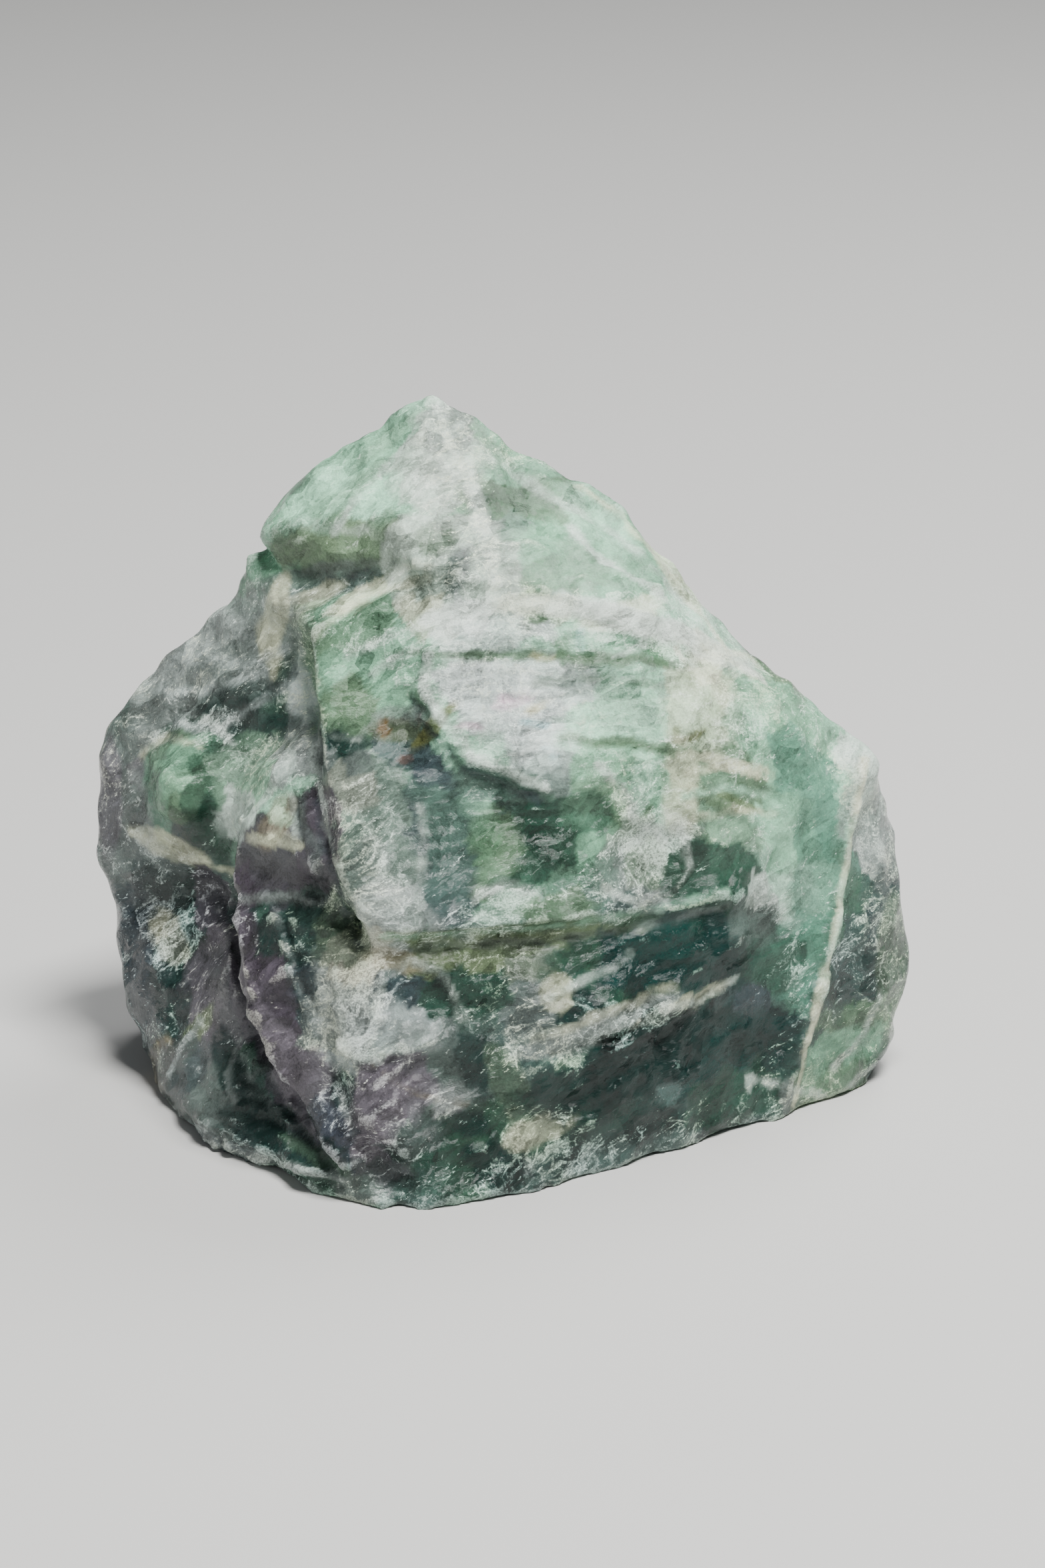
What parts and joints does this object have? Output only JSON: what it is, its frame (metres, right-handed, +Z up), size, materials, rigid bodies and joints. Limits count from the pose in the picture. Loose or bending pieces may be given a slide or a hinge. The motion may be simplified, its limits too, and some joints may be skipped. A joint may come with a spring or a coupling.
{
  "type": "rough fluorite",
  "caption": "Rough lump of green and purple fluorite with stepped cleavage faces, shell-shaped chips and white veils, standing on a flat cleaved foot as a display stone.",
  "frame": {"origin": "middle of the bounding box, at the level of the flat foot", "axes": "+X to the right of the broad broken front, +Y to the back, +Z up"},
  "size_m": [0.1458, 0.1128, 0.1246],
  "materials": {
    "fluorite": "translucent green to grey and purple mineral with white veils, part glossy cleavage and part frosted breaks"
  },
  "bodies": {
    "root": {"rough_fluorite": "fluorite"}
  },
  "joints": []
}
